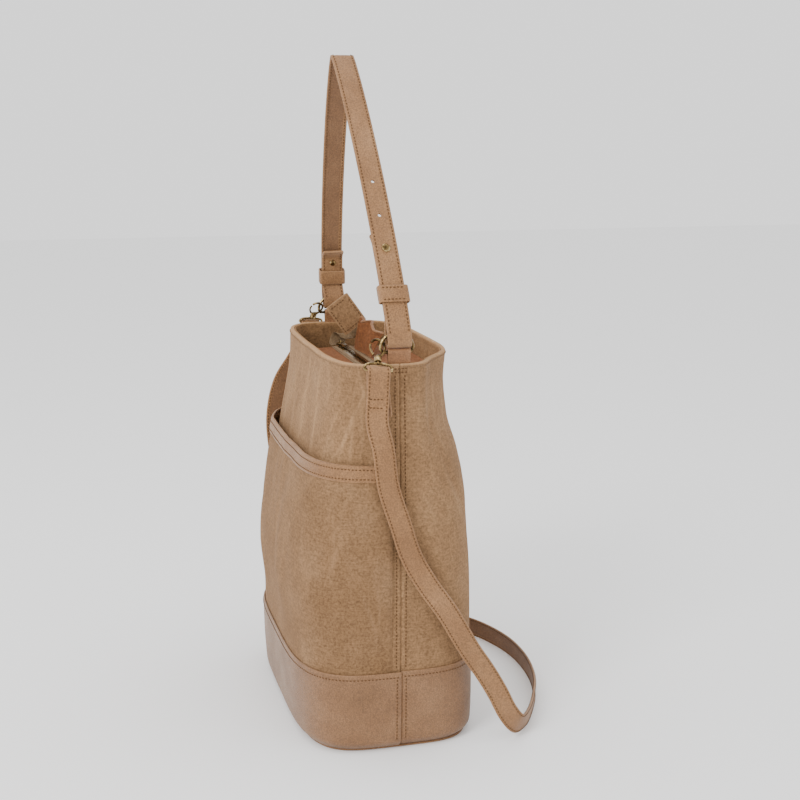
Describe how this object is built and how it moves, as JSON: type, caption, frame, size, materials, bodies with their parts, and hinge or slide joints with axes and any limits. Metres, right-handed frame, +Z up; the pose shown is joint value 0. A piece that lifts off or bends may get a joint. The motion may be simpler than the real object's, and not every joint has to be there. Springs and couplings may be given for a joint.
{
  "type": "bucket bag",
  "caption": "Tan canvas bucket bag with leather base, front slip pocket, zipped mouth, shoulder strap on D-rings and clip-on crossbody strap.",
  "frame": {"origin": "centre of the flat underside of the base, on the floor", "axes": "+Z up, +X towards the right side seam, -Y towards the front with the slip pocket"},
  "size_m": [0.364, 0.2812, 0.6562],
  "materials": {
    "canvas": "brushed cotton canvas",
    "strap_leather": "matt grain",
    "base_leather": "matt grain",
    "lining_cloth": "suede-like cloth",
    "board": "plain stiffener",
    "antique_brass": "aged, brushed"
  },
  "bodies": {
    "bag": {"back_base_wrap": "base_leather", "back_facing": "canvas", "back_panel": "canvas", "base_board": "board", "base_panel": "base_leather", "crossbody_strap": "strap_leather", "front_base_wrap": "base_leather", "front_facing": "canvas", "front_panel": "canvas", "front_pocket": "canvas", "hook_eye_left": "antique_brass", "hook_eye_right": "antique_brass", "lining": "lining_cloth", "pocket_band": "strap_leather", "side_tab_left": "strap_leather", "side_tab_right": "strap_leather", "zip_end_tab": "canvas", "zip_tail": "canvas"},
    "strap": {"shoulder_strap": "strap_leather", "strap_stud_right": "antique_brass", "strap_stud_left": "antique_brass"},
    "keeper_right": {"strap_keeper_right": "strap_leather"},
    "keeper_left": {"strap_keeper_left": "strap_leather"},
    "ring_right": {"d_ring_right": "antique_brass"},
    "ring_left": {"d_ring_left": "antique_brass"},
    "claw_right": {"hook_claw_right": "antique_brass"},
    "claw_left": {"hook_claw_left": "antique_brass"},
    "gate_right": {"hook_gate_right": "antique_brass"},
    "gate_left": {"hook_gate_left": "antique_brass"},
    "slider": {"zip_slider": "antique_brass"},
    "puller": {"zip_puller": "antique_brass"},
    "flap_front": {"zip_flap_front": "lining_cloth", "zip_teeth_front": "antique_brass"},
    "flap_back": {"zip_flap_back": "lining_cloth", "zip_teeth_back": "antique_brass"}
  },
  "joints": [
    {"name": "shoulder_strap_swing", "type": "hinge", "parent": "bag", "child": "strap", "pos_m": [0, -0.002, 0.3865], "axis": [1, 0, 0], "range_deg": [-3, 5]},
    {"name": "keeper_right_slide", "type": "slide", "parent": "strap", "child": "keeper_right", "axis": [-0.359, -0.0708, 0.9306], "range_m": [-0.008, 0.01]},
    {"name": "keeper_left_slide", "type": "slide", "parent": "strap", "child": "keeper_left", "axis": [0.3267, -0.0717, 0.9424], "range_m": [0, 0.004]},
    {"name": "zip_slider_travel", "type": "slide", "parent": "bag", "child": "slider", "axis": [1, 0, 0], "range_m": [0, 0.18]},
    {"name": "zip_puller_flip", "type": "hinge", "parent": "slider", "child": "puller", "pos_m": [-0.0925, -0.004, 0.3601], "axis": [0, -1, 0], "range_deg": [0, 100]},
    {"name": "zip_flap_front_open", "type": "hinge", "parent": "bag", "child": "flap_front", "pos_m": [0, -0.046, 0.356], "axis": [1, 0, 0], "range_deg": [-60, 0]},
    {"name": "zip_flap_back_open", "type": "hinge", "parent": "bag", "child": "flap_back", "pos_m": [0, 0.049, 0.356], "axis": [-1, 0, 0], "range_deg": [-60, 0]},
    {"name": "d_ring_right_swing", "type": "hinge", "parent": "bag", "child": "ring_right", "pos_m": [0.1407, -0.002, 0.3865], "axis": [0, 1, 0], "range_deg": [-4, 4]},
    {"name": "hook_right_swivel", "type": "hinge", "parent": "bag", "child": "claw_right", "pos_m": [0.15033, -0.02207, 0.38142], "axis": [-0.691, 0.1382, 0.7095], "range_deg": [-4, 4]},
    {"name": "hook_right_gate", "type": "hinge", "parent": "claw_right", "child": "gate_right", "pos_m": [0.14608, -0.02515, 0.38578], "axis": [-0.7163, 0, -0.6977], "range_deg": [0, 14], "stiffness_Nm_per_rad": 0.004},
    {"name": "d_ring_left_swing", "type": "hinge", "parent": "bag", "child": "ring_left", "pos_m": [-0.1407, -0.002, 0.3865], "axis": [0, 1, 0], "range_deg": [-4, 4]},
    {"name": "hook_left_swivel", "type": "hinge", "parent": "bag", "child": "claw_left", "pos_m": [-0.15033, -0.02207, 0.38142], "axis": [0.691, 0.1382, 0.7095], "range_deg": [-4, 4]},
    {"name": "hook_left_gate", "type": "hinge", "parent": "claw_left", "child": "gate_left", "pos_m": [-0.14608, -0.02515, 0.38578], "axis": [-0.7163, 0, 0.6977], "range_deg": [0, 14], "stiffness_Nm_per_rad": 0.004}
  ]
}
